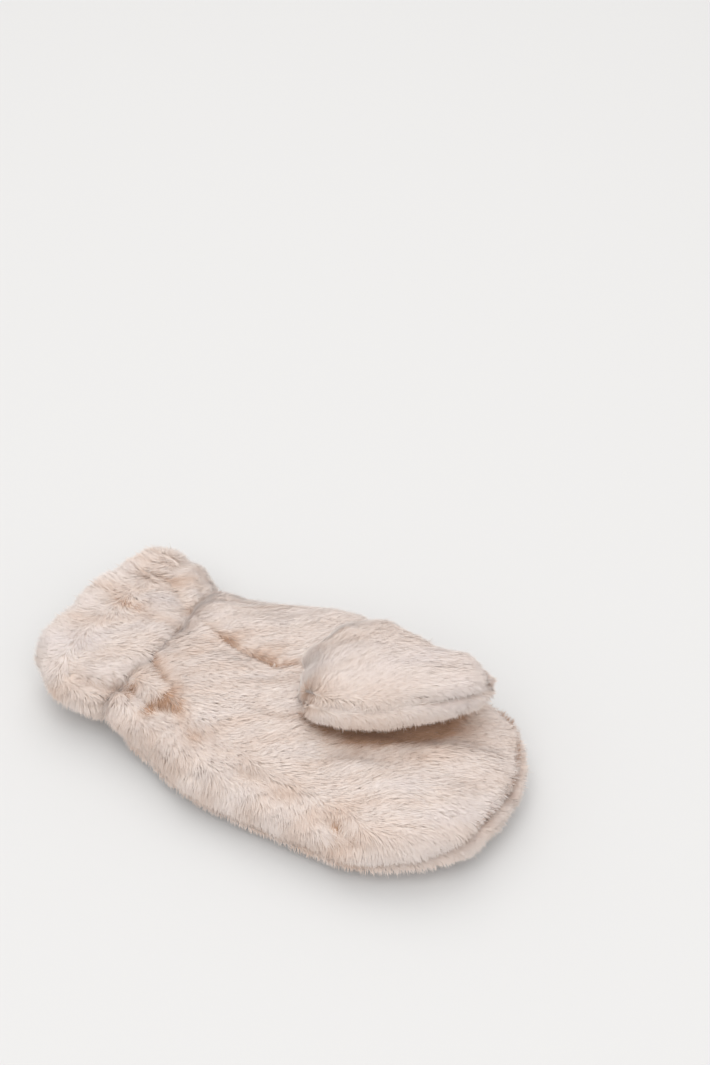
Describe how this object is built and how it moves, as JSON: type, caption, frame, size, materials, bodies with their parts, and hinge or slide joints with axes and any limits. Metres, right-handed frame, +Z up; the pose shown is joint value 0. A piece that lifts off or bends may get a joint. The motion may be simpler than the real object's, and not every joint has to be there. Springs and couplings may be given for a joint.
{
  "type": "fur mitten",
  "caption": "Adult mitten of short plush fur, lying palm up with its thumb folded over the palm, a gathered wrist and a rounded turned-in fur cuff.",
  "frame": {"origin": "on the surface that the mitten lies on, under the middle of its bounding box", "axes": "+X from the cuff's mouth to the fingertips, +Y to the thumb side, +Z up out of the palm"},
  "size_m": [0.2562, 0.136, 0.0657],
  "materials": {
    "hand_fur": "short plush fur, pinkish beige with paler tips and tan roots",
    "cuff_fur": "short plush fur, pinkish beige, turned in at the cuff's mouth"
  },
  "bodies": {
    "root": {"palm_panel": "hand_fur", "back_panel": "hand_fur", "thumb_outer_panel": "hand_fur", "thumb_inner_panel": "hand_fur", "cuff": "cuff_fur"}
  },
  "joints": []
}
